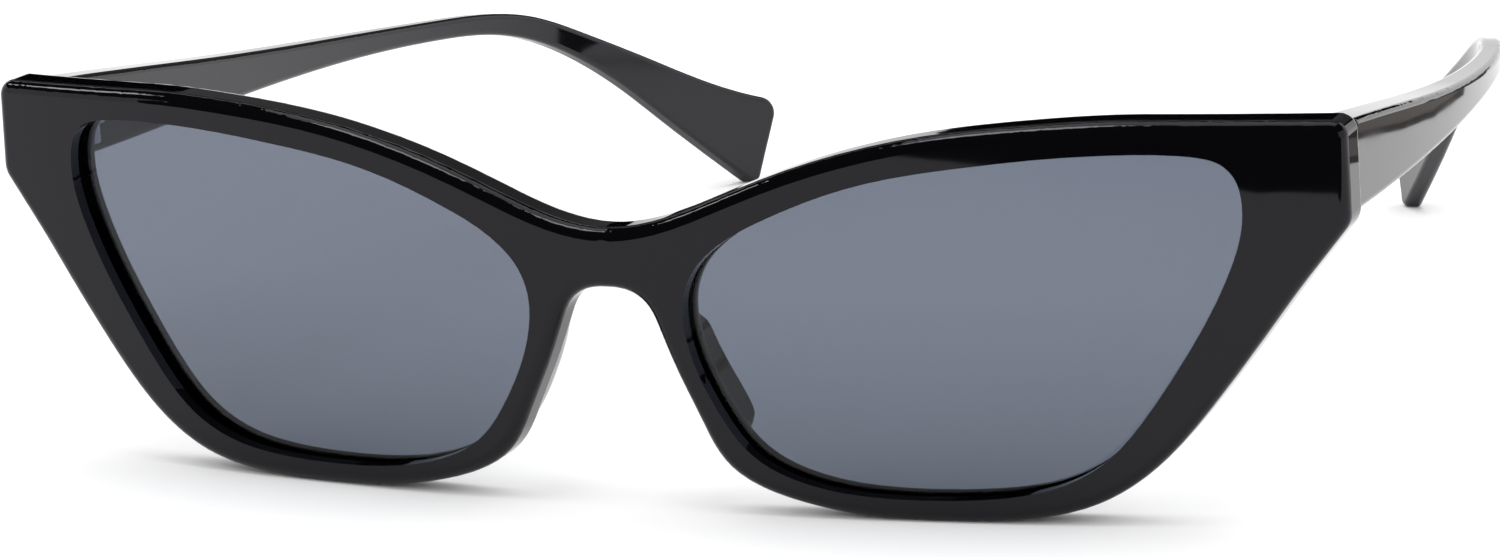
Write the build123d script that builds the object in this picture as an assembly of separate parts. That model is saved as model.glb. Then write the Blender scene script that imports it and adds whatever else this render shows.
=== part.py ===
from build123d import *
import os

# Cat eye sunglasses, open, standing on the rim bottoms and the temple tips.
# Millimetres. X is left-right (the wearer's left is +X), the front faces -Y,
# the temples run towards +Y and +Z is up. The origin is on the table, under
# the middle of the whole object.

# ---- driving dimensions ----
FRONT_R = 282.0          # base curve of the front, about a vertical axis
FRONT_T = 4.4            # thickness of the front in the middle
REAR_R = 256.0           # curve of the rear surface: the front is thicker at its ends
EDGE_R = 1.2             # rounding of the outer front edges of the front
REAR_EDGE_R = 1.0        # rounding of its outer rear edges
RIM_R = 0.85             # rounding of the front edges of the lens openings
BACK_R = 0.5             # rounding of the rear edges of the lens openings
HALF_W = 71.1            # half the overall width
BROW_Z = 38.7            # height of the brow line
TOTAL_Y = 143.9          # overall depth, front face to tips
STRETCH_X = HALF_W / 71.1     # the outlines below are drawn for these three sizes
STRETCH_Y = TOTAL_Y / 143.9
STRETCH_Z = BROW_Z / 38.7
SIDE_Z = 28.9 * STRETCH_Z        # height where the end piece turns into the rim
BRIDGE_TOP_Z = 27.7 * STRETCH_Z  # top of the bridge
BRIDGE_LOW_Z = 21.8 * STRETCH_Z  # underside of the bridge
LENS_T = 1.8             # thickness of a lens
LENS_Y = 1.5             # set-back of a lens behind the front face
LENS_LIP = 0.75          # depth of the groove that holds the lens
LENS_GAP = 0.04          # clearance of the lens in its groove
TEMPLE_GAP = 0.24        # gap between the end piece and the temple
SEAM_EDGE = 0.3          # bevel of the temple edges at that gap
TEMPLE_OUT = 70.5 * STRETCH_X  # outer face of a temple at the hinge
TEMPLE_T = 4.0           # thickness of a temple at the hinge
TEMPLE_T_BEND = 2.4      # thickness of a temple from the bend to the tip
TEMPLE_R = 0.6           # rounding of the temple edges
HEEL_R = 2.3             # corner radii of the temple tip, side view
TOE_R = 1.1
PIVOT_X = TEMPLE_OUT - 6.1  # hinge pin axis
PIVOT_BACK = 2.567       # hinge pin axis behind the rear surface of the front
BARREL_R = 1.35          # outer radius of the hinge barrels
PIN_R = 0.6              # radius of the hinge screw shank
PIN_CLEAR = 0.03         # running clearance of the shank in the barrels
BARREL_Z = BROW_Z - 7.8  # bottom of the hinge barrels
BARREL_H = 6.0           # height of the three barrels together
BARREL_GAP = 0.08        # gap between neighbouring barrels
LEAF_T = 0.9             # thickness of the hinge leaves
HEAD_R = 1.1             # screw head
HEAD_H = 0.6
PAD_T = 1.3              # half thickness of a nose pad at its root
PAD_L = 6.9              # half length of a nose pad at its root



def drawn(points, first, second):
    # the points of an outline, stretched with the overall sizes
    return [(a * first, b * second) for a, b in points]


# ---- outlines of the front, +X half, as (x, z) ----
BROW = [
    (0, 27.7),
    (6.2, 28.8),
    (12, 31.1),
    (18, 33.5),
    (24, 35.4),
    (30, 36.8),
    (36, 37.7),
    (43, 38.35),
    (52, 38.7),
]
RIM = [
    (67.2, 23.8),
    (63.2, 18.2),
    (58.9, 12.3),
    (55.7, 8.3),
    (51.9, 4.6),
    (47.4, 1.9),
    (42.2, 0.5),
    (36, 0),
    (30, 0),
    (24.5, 0.3),
    (19.5, 1.2),
    (15, 2.6),
    (11.5, 4.9),
    (8.9, 9.4),
    (6.8, 13.9),
    (5.1, 18.2),
    (4.1, 20.2),
    (2.4, 21.45),
    (0, 21.8),
]
OPENING_LOW = (31, 2.2)
OPENING = [
    (56, 35.5),
    (60.3, 34.2),
    (61.6, 30.2),
    (60.5, 25),
    (58, 19.6),
    (54.9, 14.4),
    (51.9, 10),
    (48.3, 6.1),
    (43.6, 3.6),
    (38, 2.5),
    OPENING_LOW,
    (24.5, 2.5),
    (18.8, 3.7),
    (14.3, 6.1),
    (11.4, 9.8),
    (9.3, 13.9),
    (8.1, 18.4),
    (8.5, 22.4),
    (11.3, 26),
    (16.8, 29.2),
    (23, 31.7),
    (29, 33.3),
    (36, 34.4),
    (43, 35.2),
    (50, 35.6),
]

# ---- temple, side view as (y, z) and plan view as (y, x) ----
TEMPLE_TOP = [
    (10, 38.2),
    (29, 35.9),
    (49, 33.3),
    (66, 31.4),
    (82, 29.9),
    (96, 28.7),
    (105, 27.8),
    (112, 26.2),
    (119, 23),
    (127, 18.6),
    (135, 14),
    (144.3, 9.9),
]
TEMPLE_LOW = [
    (141, -0.9),
    (134.5, 5.2),
    (129.5, 10),
    (124.5, 14.8),
    (119, 19.2),
    (113, 22.7),
    (106, 25),
    (96, 26.3),
    (82, 27.2),
    (64, 27.8),
    (39, 28.2),
    (10, 29),
]
TEMPLE_PLAN = [
    (8, 70.5),
    (44, 70.2),
    (74, 68.3),
    (89, 66.2),
    (99, 64.1),
    (111, 60.4),
    (127, 52.3),
    (141, 43.9),
    (150, 38.1),
]

BROW = drawn(BROW, STRETCH_X, STRETCH_Z)
RIM = drawn(RIM, STRETCH_X, STRETCH_Z)
OPENING = drawn(OPENING, STRETCH_X, STRETCH_Z)
OPENING_LOW = drawn([OPENING_LOW], STRETCH_X, STRETCH_Z)[0]
TEMPLE_TOP = drawn(TEMPLE_TOP, STRETCH_Y, STRETCH_Z)
TEMPLE_LOW = drawn(TEMPLE_LOW, STRETCH_Y, STRETCH_Z)
TEMPLE_PLAN = drawn(TEMPLE_PLAN, STRETCH_Y, STRETCH_X)

UNIT = [1, 1]


def mirror_x(shape):
    return mirror(shape, about=Plane.YZ)


def sag(x, radius):
    # how far a curved surface falls back at a distance x from the middle
    return radius - (radius * radius - x * x) ** 0.5


def rear_y(x, behind=0.0):
    # y of the rear surface of the front
    return FRONT_T + behind + sag(x, REAR_R)


PIVOT_Y = rear_y(PIVOT_X, PIVOT_BACK)


def slab(y_front, y_back, z_low=-20, z_high=60):
    # part of the curved plate between two depths behind the front face
    outer = Cylinder(FRONT_R - y_front, z_high - z_low)
    inner = Cylinder(FRONT_R - y_back, z_high - z_low)
    ring = outer - inner
    ring = Pos(0, FRONT_R, (z_low + z_high) / 2) * ring
    return ring & Pos(0, 20, 20) * Box(2 * HALF_W + 20, 60, 90)


def ahead_of_rear(behind):
    # everything in front of the rear surface, moved back by a distance
    block = Pos(0, 10, 20) * Box(2 * HALF_W + 30, 50, 90)
    drum = Pos(0, REAR_R + FRONT_T + behind, 20) * Cylinder(REAR_R, 100)
    return block - drum


def front_plate():
    # the curved plate the front is cut from
    drum = Pos(0, FRONT_R, 20) * Cylinder(FRONT_R, 80)
    return ahead_of_rear(0) & drum


def prism(points_face, y0=-5, y1=30):
    # an outline in the XZ plane made into a solid along Y
    face = Plane.XZ * points_face
    return Pos(0, y1, 0) * extrude(face, y1 - y0)


def front_outline():
    top = Line(BROW[-1], (HALF_W - 0.25, BROW_Z - 0.25))
    side = Line((HALF_W - 0.25, BROW_Z - 0.25), (HALF_W, SIDE_Z))
    slope = Line((HALF_W, SIDE_Z), RIM[0])
    brow = Spline(BROW, tangents=[(1, 0), top % 0], tangent_scalars=UNIT)
    rim = Spline(RIM, tangents=[slope % 1, (-1, 0)], tangent_scalars=UNIT)
    axis = Line((0, BRIDGE_LOW_Z), (0, BRIDGE_TOP_Z))
    half = make_face(Wire([brow, top, side, slope, rim, axis]))
    corners = half.vertices().filter_by(lambda v: v.X > HALF_W - 0.5)
    top_corner = corners.sort_by(Axis.Y)[-1]
    low_corner = corners.sort_by(Axis.Y)[0]
    half = fillet([top_corner], 1.6)
    low_corner = half.vertices().filter_by(lambda v: v.X > HALF_W - 0.5).sort_by(Axis.Y)[0]
    half = fillet([low_corner], 2.4)
    return half


def opening_face(grow=0.0):
    # the outline of a lens opening, grown outwards by a distance
    low = OPENING.index(OPENING_LOW)
    ends = [(1, -0.08), (-1, 0)]
    outer = Spline(OPENING[: low + 1], tangents=ends, tangent_scalars=UNIT)
    inner = Spline(OPENING[low:] + OPENING[:1], tangents=ends[::-1], tangent_scalars=UNIT)
    halves = []
    for curve, tangents in ((outer, ends), (inner, ends[::-1])):
        points = []
        for i in range(29):
            p = curve @ (i / 28)
            t = curve % (i / 28)
            points.append((p.X - t.Y * grow, p.Y + t.X * grow))
        halves.append(Spline(points, tangents=tangents, tangent_scalars=UNIT))
    return make_face(Wire(halves))


def nose_pad():
    # a thin blade that leaves the rim backwards and outwards
    lean = 23
    stations = [
        (FRONT_T - 1.2, 8.9, 12.9, PAD_T, PAD_L),
        (FRONT_T + 0.8, 8.9, 12.9, 1.15, PAD_L),
        (FRONT_T + 2.2, 9.2, 12.5, 1.0, 6.2),
        (FRONT_T + 3.3, 9.6, 12.1, 0.85, 5.1),
        (FRONT_T + 4.1, 9.9, 11.8, 0.65, 3.7),
        (FRONT_T + 4.6, 10.1, 11.6, 0.4, 2.0),
    ]
    sections = []
    for y, x, z, half_t, half_l in stations:
        plane = Plane(origin=(x * STRETCH_X, y, z * STRETCH_Z), x_dir=(1, 0, 0), z_dir=(0, -1, 0))
        sections.append(plane * Rot(0, 0, lean) * Ellipse(half_t, half_l))
    return loft(sections)


def build_front():
    half = front_outline()
    body = prism(half)
    body = body + mirror_x(body)
    body = body & front_plate()
    outer_edges = [e for e in body.edges() if e.length > 0.01]
    rim_edges = [e for e in outer_edges if abs(e.center().X) > 0.001 or e.length > 1]
    fronts = []
    rears = []
    for e in rim_edges:
        y_mid = e.position_at(0.5).Y
        x_mid = e.position_at(0.5).X
        if y_mid - sag(x_mid, FRONT_R) < 0.1:
            fronts.append(e)
        elif rear_y(x_mid) - y_mid < 0.1:
            rears.append(e)
    body = fillet(rears, REAR_EDGE_R)
    fronts = [e for e in body.edges() if any(e.position_at(0.5) == f.position_at(0.5) for f in fronts)]
    body = fillet(fronts, EDGE_R)
    hole = prism(opening_face())
    for side in (hole, mirror_x(hole)):
        body = body - side
    near = []
    far = []
    for e in body.edges():
        p = e.position_at(0.5)
        inside = opening_contains(p)
        if inside and p.Y - sag(p.X, FRONT_R) < 0.1:
            near.append(e)
        elif inside and rear_y(p.X) - p.Y < 0.1:
            far.append(e)
    body = fillet(near, RIM_R)
    body = fillet(far, BACK_R)
    groove = prism(opening_face(LENS_LIP)) & slab(LENS_Y - LENS_GAP, LENS_Y + LENS_T + LENS_GAP)
    body = body - groove - mirror_x(groove)
    pad = nose_pad() - prism(opening_face(LENS_LIP))
    body = body + pad + mirror_x(pad)
    return body


def opening_contains(p):
    # true for points close to the outline of a lens opening
    x = abs(p.X)
    return min((x - q[0]) ** 2 + (p.Z - q[1]) ** 2 for q in OPENING) < 16 and HALF_W - 7 > x > 8


def build_lens():
    lens = prism(opening_face(LENS_LIP - LENS_GAP)) & slab(LENS_Y, LENS_Y + LENS_T)
    return lens


def build_temple():
    top = Spline(TEMPLE_TOP)
    low = Spline(TEMPLE_LOW)
    back = Line(top @ 1, low @ 0)
    front = Line(low @ 1, top @ 0)
    side = make_face(Wire([top, back, low, front]))
    heel = side.vertices().sort_by(Axis.X)[-1]
    side = fillet([heel], HEEL_R)
    toe = side.vertices().sort_by(Axis.Y)[0]
    side = fillet([toe], TOE_R)
    blade = extrude(Plane.YZ * side, 90)
    outer = Spline([(x, y) for y, x in TEMPLE_PLAN])
    inner_pts = []
    for y, x in TEMPLE_PLAN:
        t = TEMPLE_T
        if y > 104 * STRETCH_Y:
            t = TEMPLE_T_BEND
        elif y > 24 * STRETCH_Y:
            t = TEMPLE_T + (TEMPLE_T_BEND - TEMPLE_T) * (y / STRETCH_Y - 24) / 80
        inner_pts.append((x - t, y))
    inner = Spline(inner_pts)
    start = Line(outer @ 0, inner @ 0)
    end = Line(inner @ 1, outer @ 1)
    plan = make_face(Wire([outer, end, inner, start]))
    band = Pos(0, 0, -10) * extrude(plan, 60)
    body = blade & band
    edges = [e for e in body.edges() if e.bounding_box().max.Y > 11]
    edges = [e for e in edges if e.bounding_box().size.Y > 0.2]
    body = fillet(edges, TEMPLE_R)
    body = body - ahead_of_rear(TEMPLE_GAP)
    seam = []
    for e in body.edges():
        p = e.position_at(0.5)
        if abs(p.Y - rear_y(p.X, TEMPLE_GAP)) < 0.05:
            seam.append(e)
    return chamfer(seam, SEAM_EDGE)


def barrel(z0, z1):
    tube = Cylinder(BARREL_R, z1 - z0) - Cylinder(PIN_R + PIN_CLEAR, z1 - z0)
    return Pos(PIVOT_X, PIVOT_Y, (z0 + z1) / 2) * tube


def hinge_levels():
    step = BARREL_H / 3
    z0 = BARREL_Z
    return [z0, z0 + step, z0 + 2 * step, z0 + 3 * step]


def build_front_leaf():
    z = hinge_levels()
    low = barrel(z[0], z[1] - BARREL_GAP / 2)
    high = barrel(z[2] + BARREL_GAP / 2, z[3])
    root_y = rear_y(PIVOT_X) - 1.6
    web_x = 2 * BARREL_R * 0.72
    parts = []
    for a, b in ((z[0], z[1] - BARREL_GAP / 2), (z[2] + BARREL_GAP / 2, z[3])):
        web = Pos(PIVOT_X, (root_y + PIVOT_Y) / 2, (a + b) / 2) * Box(web_x, PIVOT_Y - root_y, b - a)
        parts.append(web - Pos(PIVOT_X, PIVOT_Y, (a + b) / 2) * Cylinder(BARREL_R * 0.9, b - a))
    plate = Pos(PIVOT_X, root_y, (z[0] + z[3]) / 2) * Box(web_x + 2.0, LEAF_T, BARREL_H - 0.4)
    return low + high + parts[0] + parts[1] + plate


def build_temple_leaf():
    z = hinge_levels()
    a = z[1] + BARREL_GAP / 2
    b = z[2] - BARREL_GAP / 2
    middle = barrel(a, b)
    face_x = TEMPLE_OUT - TEMPLE_T
    web = Pos((PIVOT_X + face_x + 0.6) / 2, PIVOT_Y + 0.45, (a + b) / 2) * Box(face_x + 0.6 - PIVOT_X, 1.8, b - a)
    web = web - Pos(PIVOT_X, PIVOT_Y, (a + b) / 2) * Cylinder(BARREL_R * 0.9, b - a)
    leaf = Pos(face_x + LEAF_T / 2 - 0.25, PIVOT_Y + 3.3, (z[0] + z[3]) / 2 - 0.3) * Box(LEAF_T, 7.0, BARREL_H - 2)
    return middle + web + leaf


def build_screw():
    z = hinge_levels()
    shank = Pos(PIVOT_X, PIVOT_Y, (z[0] - 0.3 + z[3]) / 2) * Cylinder(PIN_R, z[3] - z[0] + 0.3)
    head = Pos(PIVOT_X, PIVOT_Y, z[3] + HEAD_H / 2) * Cylinder(HEAD_R, HEAD_H)
    head = fillet(head.edges().sort_by(Axis.Z)[-1], 0.25)
    slot = Pos(PIVOT_X, PIVOT_Y, z[3] + HEAD_H) * Box(0.3, 3, 0.5)
    return shank + head - slot


def place(shape):
    # move the model so that its origin is under the middle of its depth
    return Pos(0, -TOTAL_Y / 2, 0) * shape


def save(node, shape):
    solid = place(shape)
    export_step(solid, "parts/" + node + ".step")
    box = solid.bounding_box()
    print(node, len(solid.solids()), round(solid.volume, 1), box.min, box.max)


def main():
    os.makedirs("parts", exist_ok=True)
    front = build_front()
    front_leaf = build_front_leaf()
    temple_leaf = build_temple_leaf()
    screw = build_screw()
    front = front - front_leaf - mirror_x(front_leaf)
    temple = build_temple() - temple_leaf
    lens = build_lens()
    save("frame_front", front)
    save("lens_left", lens)
    save("lens_right", mirror_x(lens))
    save("temple_left", temple)
    save("temple_right", mirror_x(temple))
    save("hinge_front_leaf_left", front_leaf)
    save("hinge_front_leaf_right", mirror_x(front_leaf))
    save("hinge_temple_leaf_left", temple_leaf)
    save("hinge_temple_leaf_right", mirror_x(temple_leaf))
    save("hinge_screws", Compound([screw, mirror_x(screw)]))


main()
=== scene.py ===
import math

import bpy
from mathutils import Matrix, Vector


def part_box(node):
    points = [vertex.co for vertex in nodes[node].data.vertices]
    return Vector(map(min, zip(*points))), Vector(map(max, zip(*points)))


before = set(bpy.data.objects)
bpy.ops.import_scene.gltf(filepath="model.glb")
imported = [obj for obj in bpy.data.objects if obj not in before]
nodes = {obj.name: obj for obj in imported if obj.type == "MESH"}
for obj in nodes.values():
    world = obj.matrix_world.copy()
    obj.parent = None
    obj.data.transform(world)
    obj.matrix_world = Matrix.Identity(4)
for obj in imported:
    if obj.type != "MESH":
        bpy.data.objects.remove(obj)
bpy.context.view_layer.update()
scene = bpy.context.scene

# All lengths are in metres.  +X is the wearer's left, the front faces -Y, the table is at z = 0.

# ---------- materials ----------

PLASTIC_DYE = (0.002, 0.002, 0.0026, 1)
PLASTIC_SHEEN = (0.93, 0.91, 1.0, 1)       # the slight violet cast of its reflections
POLISH_SCALE = 90                          # patches of uneven polish
SWELL_SCALE = 55                           # the long, shallow waves of a moulded surface
SWELL_HEIGHT = 0.001

LENS_IOR = 1.5
LENS_ROUGHNESS = 0.16
LENS_GLOSS = 0.6                           # share of the full Fresnel reflection
TINT_PAINTED_SHADE_LOW = (0.312, 0.34, 0.385, 1)         # painted shade: the tint is painted a little deeper towards the table, standing in for the shaded floor seen through the lower lens
TINT_HIGH = (0.366, 0.389, 0.441, 1)
PAINTED_SHADE_TOP_Z = 0.022
TINT_CLOUD_SCALE = 40
TINT_CLOUD_SHARE = 0.08                    # the dye takes up slightly unevenly

BRUSH_SCALE = 1800
BRUSH_STRETCH = (1, 1, 12)

STEEL = (0.55, 0.55, 0.56)
BRIGHT_STEEL = (0.65, 0.65, 0.66)


def new_material(name):
    """An empty node material: the material, its nodes and its links."""
    mat = bpy.data.materials.new(name)
    mat.use_nodes = True
    tree = mat.node_tree
    for node in list(tree.nodes):
        tree.nodes.remove(node)
    return mat, tree.nodes, tree.links


def to_output(n, l, shader):
    """Connect a shader to the material's surface."""
    out = n.new("ShaderNodeOutputMaterial")
    l.new(shader, out.inputs["Surface"])


def object_coordinates(n):
    """The socket with a piece's own coordinates."""
    return n.new("ShaderNodeTexCoord").outputs["Object"]


def noise(n, l, vector, scale, detail):
    """A noise pattern over the given coordinates."""
    node = n.new("ShaderNodeTexNoise")
    node.inputs["Scale"].default_value = scale
    node.inputs["Detail"].default_value = detail
    l.new(vector, node.inputs["Vector"])
    return node.outputs["Fac"]


def rescale(n, l, value, source, target):
    """Map a value from one range to another."""
    node = n.new("ShaderNodeMapRange")
    node.inputs["From Min"].default_value, node.inputs["From Max"].default_value = source
    node.inputs["To Min"].default_value, node.inputs["To Max"].default_value = target
    l.new(value, node.inputs["Value"])
    return node.outputs["Result"]


def calculate(n, l, operation, *terms):
    """One Math node; each term is a number or a socket."""
    node = n.new("ShaderNodeMath")
    node.operation = operation
    for socket, term in zip(node.inputs, terms):
        if isinstance(term, float):
            socket.default_value = term
        else:
            l.new(term, socket)
    return node.outputs["Value"]


def gloss_black(name, ior, rough, wave):
    """Polished injection-moulded plastic: deep black under a clear, very slightly wavy skin."""
    mat, n, l = new_material(name)
    bsdf = n.new("ShaderNodeBsdfPrincipled")
    bsdf.inputs["Base Color"].default_value = PLASTIC_DYE
    bsdf.inputs["IOR"].default_value = ior
    bsdf.inputs["Specular Tint"].default_value = PLASTIC_SHEEN
    to_output(n, l, bsdf.outputs["BSDF"])
    coord = object_coordinates(n)
    polish = noise(n, l, coord, POLISH_SCALE, 3)
    l.new(rescale(n, l, polish, (0.3, 0.7), (rough * 0.6, rough * 1.4)), bsdf.inputs["Roughness"])
    bump = n.new("ShaderNodeBump")
    bump.inputs["Strength"].default_value = wave
    bump.inputs["Distance"].default_value = SWELL_HEIGHT
    l.new(noise(n, l, coord, SWELL_SCALE, 1), bump.inputs["Height"])
    l.new(bump.outputs["Normal"], bsdf.inputs["Normal"])
    return mat


def tinted_lens(name):
    """Grey tinted polycarbonate: a clear coloured body under a soft gloss."""
    mat, n, l = new_material(name)
    clear = n.new("ShaderNodeBsdfTransparent")
    gloss = n.new("ShaderNodeBsdfGlossy")
    gloss.inputs["Roughness"].default_value = LENS_ROUGHNESS
    gloss.inputs["Color"].default_value = (1, 1, 1, 1)
    mix = n.new("ShaderNodeMixShader")
    l.new(clear.outputs["BSDF"], mix.inputs[1])
    l.new(gloss.outputs["BSDF"], mix.inputs[2])
    to_output(n, l, mix.outputs["Shader"])

    # only the face that the light enters by reflects: inside, the tint hides the rest
    fresnel = n.new("ShaderNodeFresnel")
    fresnel.inputs["IOR"].default_value = LENS_IOR
    side = n.new("ShaderNodeNewGeometry")
    entering = calculate(n, l, "SUBTRACT", 1.0, side.outputs["Backfacing"])
    mirrored = calculate(n, l, "MULTIPLY", fresnel.outputs["Fac"], entering)
    l.new(calculate(n, l, "MULTIPLY", mirrored, LENS_GLOSS), mix.inputs["Fac"])

    coord = object_coordinates(n)
    split = n.new("ShaderNodeSeparateXYZ")
    l.new(coord, split.inputs["Vector"])
    # painted shade: the tint darkens with falling height, standing in for the shadow and floor seen
    # through the lower lens
    height = rescale(n, l, split.outputs["Z"], (0.0, PAINTED_SHADE_TOP_Z), (0.0, 1.0))
    cloud = noise(n, l, coord, TINT_CLOUD_SCALE, 2)
    ramp = n.new("ShaderNodeValToRGB")
    low, high = ramp.color_ramp.elements
    low.position, low.color = 0.0, TINT_PAINTED_SHADE_LOW
    high.position, high.color = 1.0, TINT_HIGH
    l.new(calculate(n, l, "MULTIPLY_ADD", cloud, TINT_CLOUD_SHARE, height), ramp.inputs["Fac"])
    l.new(ramp.outputs["Color"], clear.inputs["Color"])
    return mat


def metal(name, color, rough):
    """Steel with a fine grain across the hinge."""
    mat, n, l = new_material(name)
    bsdf = n.new("ShaderNodeBsdfPrincipled")
    bsdf.inputs["Base Color"].default_value = (*color, 1)
    bsdf.inputs["Metallic"].default_value = 1.0
    to_output(n, l, bsdf.outputs["BSDF"])
    stretch = n.new("ShaderNodeMapping")
    stretch.inputs["Scale"].default_value = BRUSH_STRETCH
    l.new(object_coordinates(n), stretch.inputs["Vector"])
    brush = noise(n, l, stretch.outputs["Vector"], BRUSH_SCALE, 2)
    l.new(rescale(n, l, brush, (0.0, 1.0), (rough * 0.7, rough * 1.3)), bsdf.inputs["Roughness"])
    return mat


# the first prefix that a node's name starts with gives its material; the IORs are given
finishes = {
    "lens": tinted_lens("lens_tint_grey"),
    "hinge_screws": metal("screw_metal_bright", BRIGHT_STEEL, 0.18),
    "hinge": metal("hinge_metal_satin", STEEL, 0.3),
    "temple": gloss_black("temple_plastic_gloss", ior=1.46, rough=0.05, wave=0.04),
    "frame": gloss_black("frame_plastic_gloss", ior=1.34, rough=0.025, wave=0.03),
}
for name, node in nodes.items():
    mat = next(finishes[prefix] for prefix in finishes if name.startswith(prefix))
    for slot in node.material_slots:
        slot.material = mat
    if not node.material_slots:
        node.data.materials.append(mat)


# ---------- floor, world, light ----------

FLOOR_HALF = 4.0
FLOOR_COLOR = (0.93, 0.93, 0.93, 1)
WORLD_STRENGTH = 1.12


def surface(name, corners):
    """A flat four-cornered mesh object."""
    mesh = bpy.data.meshes.new(name)
    mesh.from_pydata(corners, [], [(0, 1, 2, 3)])
    obj = bpy.data.objects.new(name, mesh)
    scene.collection.objects.link(obj)
    return obj


def level(x_range, y_range, z):
    """The corners of a level rectangle."""
    (x0, x1), (y0, y1) = x_range, y_range
    return [(x0, y0, z), (x1, y0, z), (x1, y1, z), (x0, y1, z)]


def upright(x_range, y, z_range):
    """The corners of an upright rectangle across Y."""
    (x0, x1), (z0, z1) = x_range, z_range
    return [(x0, y, z0), (x1, y, z0), (x1, y, z1), (x0, y, z1)]


floor = surface("floor", level((-FLOOR_HALF, FLOOR_HALF), (-FLOOR_HALF, FLOOR_HALF), 0))
floor_mat, floor_nodes, floor_links = new_material("floor_pale")
floor_bsdf = floor_nodes.new("ShaderNodeBsdfPrincipled")
floor_bsdf.inputs["Base Color"].default_value = FLOOR_COLOR
floor_bsdf.inputs["Roughness"].default_value = 0.9
floor_bsdf.inputs["Specular IOR Level"].default_value = 0.0
to_output(floor_nodes, floor_links, floor_bsdf.outputs["BSDF"])
floor.data.materials.append(floor_mat)

world = bpy.data.worlds.new("studio")
scene.world = world
world.use_nodes = True
background = world.node_tree.nodes["Background"]
background.inputs["Color"].default_value = (1, 1, 1, 1)
background.inputs["Strength"].default_value = WORLD_STRENGTH

softbox = bpy.data.lights.new("top_softbox", "AREA")
softbox.shape = "RECTANGLE"
softbox.size, softbox.size_y = 1.4, 1.0
softbox.energy = 8
softbox_obj = bpy.data.objects.new("top_softbox", softbox)
softbox_obj.location = (0.0, 0.1, 1.4)
softbox_aim = -Vector(softbox_obj.location)
softbox_obj.rotation_euler = softbox_aim.to_track_quat("-Z", "Y").to_euler()
scene.collection.objects.link(softbox_obj)


# ---------- what the polished plastic mirrors: the dark studio, its softboxes, and painted reflections of a dark floor ---

PAINTED_REFLECTION_FLOOR_Z = 0.001                       # painted reflection: a dark sheet on the floor in front, seen only in reflections; the floor the camera sees stays pale
PAINTED_REFLECTION_SIDE_Z = 0.002                        # painted reflection: the dark and faintly glowing strips beside the left temple, seen only in reflections
CEILING_Z = 1.5
STUDIO_X = (-3, 3)
FRONT_WALL_Y = -2.5
BACK_WALL_Y = 1.5
BACK_WALL_X = (-1.6, 0.5)

WHITE = (1.0, 1.0, 1.0)
# the warm colour of the painted reflection strips beside the left temple
WARM_PAINTED_REFLECTION = (1.0, 0.93, 0.87)


def card(name, corners, color, strength):
    """A flat card that is seen in reflections only."""
    obj = surface(name, corners)
    mat, n, l = new_material(name)
    glow = n.new("ShaderNodeEmission")
    glow.inputs["Color"].default_value = (*color, 1)
    glow.inputs["Strength"].default_value = strength
    to_output(n, l, glow.outputs["Emission"])
    obj.data.materials.append(mat)
    obj.visible_camera = False
    obj.visible_diffuse = False
    obj.visible_shadow = False
    obj.visible_transmission = False
    obj.visible_volume_scatter = False


def facing(centre, width, height):
    """The corners of a rectangle square to the line from the object."""
    centre = Vector(centre)
    out = centre.normalized()
    side = Vector((0, 0, 1)).cross(out).normalized()
    rise = out.cross(side)
    signs = ((-1, -1), (1, -1), (1, 1), (-1, 1))
    return [centre + side * (u * width / 2) + rise * (v * height / 2) for u, v in signs]


card("dark_ceiling", level(STUDIO_X, (FRONT_WALL_Y, 1.2), CEILING_Z), WHITE, 0)
card("dark_wall", upright(STUDIO_X, FRONT_WALL_Y, (0, CEILING_Z)), WHITE, 0)
card("dark_back_low", upright(BACK_WALL_X, BACK_WALL_Y, (0.21, 0.45)), WHITE, 0)
card("dim_back_high", upright(BACK_WALL_X, BACK_WALL_Y, (0.45, CEILING_Z)), WHITE, 0.12)

# painted reflection: the dark sheet in front, lying on the pale floor, begins along a slanting line,
# placed for the main view: its reflected edge crosses the left end piece there
front_reflection_outline = ((-0.06, -0.257), (0.6, -0.011), (1.5, -2.4), (-0.2, -2.4))
card("painted_reflection_floor_front", [(x, y, PAINTED_REFLECTION_FLOOR_Z) for x, y in front_reflection_outline], WHITE, 0)

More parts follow.
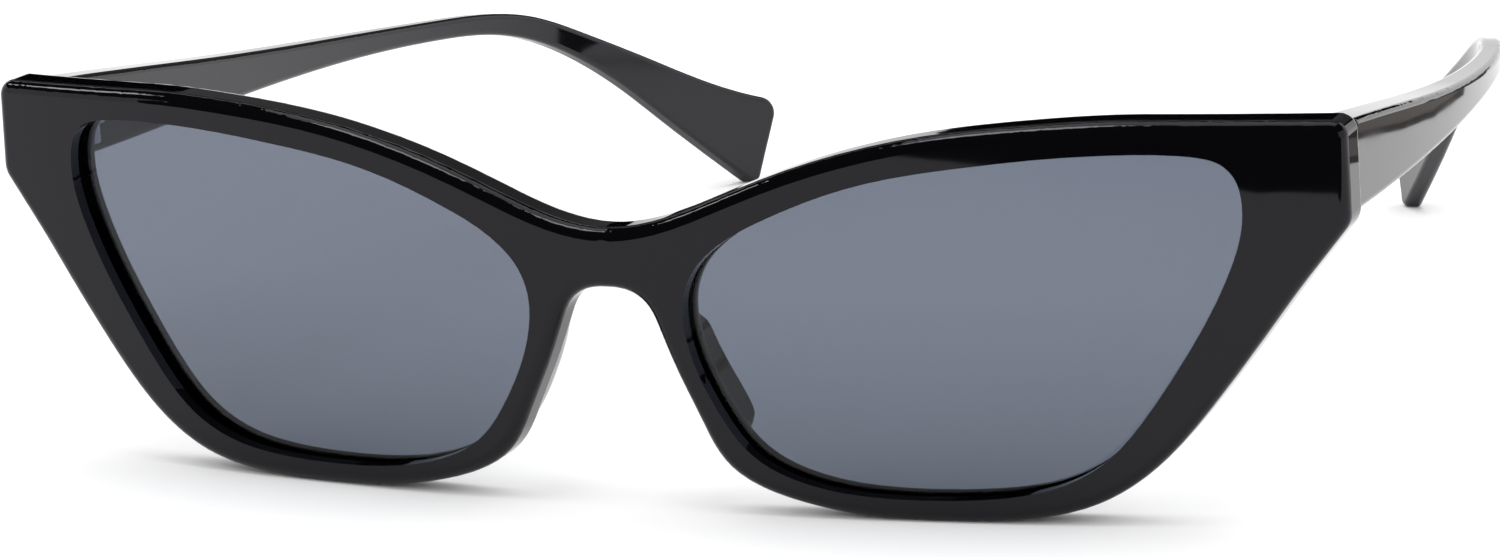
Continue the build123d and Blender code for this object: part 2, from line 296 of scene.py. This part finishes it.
# painted reflection: strips beside the left temple, dark or faintly glowing and seen only in the
# temple's reflections, also placed for the main view:
# near edge, far edge, glow.  They slant: the inner end lies further back than the outer one
STRIP_INNER = (0.0862, 0.028)              # x of the end, and its shift in y
STRIP_OUTER = (0.14, -0.042)
painted_reflection_strips = ((0.100, 0.106, 0.13), (0.106, 0.121, 0.33), (0.121, 2.9, 0.12))
for i, (near, far, glow) in enumerate(painted_reflection_strips):
    (inner_x, inner_shift), (outer_x, outer_shift) = STRIP_INNER, STRIP_OUTER
    outline = (
        (inner_x, near + inner_shift),
        (outer_x, near + outer_shift),
        (outer_x, far + outer_shift),
        (inner_x, far + inner_shift),
    )
    card(f"painted_reflection_floor_side_{i}", [(x, y, PAINTED_REFLECTION_SIDE_Z) for x, y in outline], WARM_PAINTED_REFLECTION, glow)

card("softbox_high", facing((-0.22, -0.30, 1.0), 0.42, 0.2), WHITE, 9)
card("softbox_low", facing((-0.72, -0.10, 0.72), 0.16, 0.14), WHITE, 9)


# ---------- camera ----------

AZIMUTH = math.radians(22.72)
ELEVATION = math.radians(13.39)
ROLL = math.radians(-2.92)
CAMERA_X = 0.18244
CAMERA_AHEAD = 0.3993                      # in front of the frame's foremost point
CAMERA_Z = 0.12659
LENS_MM = 113.1
SENSOR_MM = 36

level_share = math.cos(ELEVATION)
back = Vector((math.sin(AZIMUTH) * level_share, -math.cos(AZIMUTH) * level_share, math.sin(ELEVATION)))
face_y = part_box("frame_front")[0].y
position = Vector((CAMERA_X, face_y - CAMERA_AHEAD, CAMERA_Z))
right = Vector((math.cos(AZIMUTH), math.sin(AZIMUTH), 0))
up = back.cross(right)
cam_x = math.cos(ROLL) * right + math.sin(ROLL) * up
cam_y = -math.sin(ROLL) * right + math.cos(ROLL) * up
cam_data = bpy.data.cameras.new("camera")
cam_data.sensor_width = SENSOR_MM
cam_data.lens = LENS_MM
cam_data.clip_start = 0.01
camera = bpy.data.objects.new("camera", cam_data)
camera.matrix_world = Matrix((
    (cam_x.x, cam_y.x, back.x, position.x),
    (cam_x.y, cam_y.y, back.y, position.y),
    (cam_x.z, cam_y.z, back.z, position.z),
    (0, 0, 0, 1),
))
scene.collection.objects.link(camera)
scene.camera = camera

scene.view_settings.view_transform = "Standard"

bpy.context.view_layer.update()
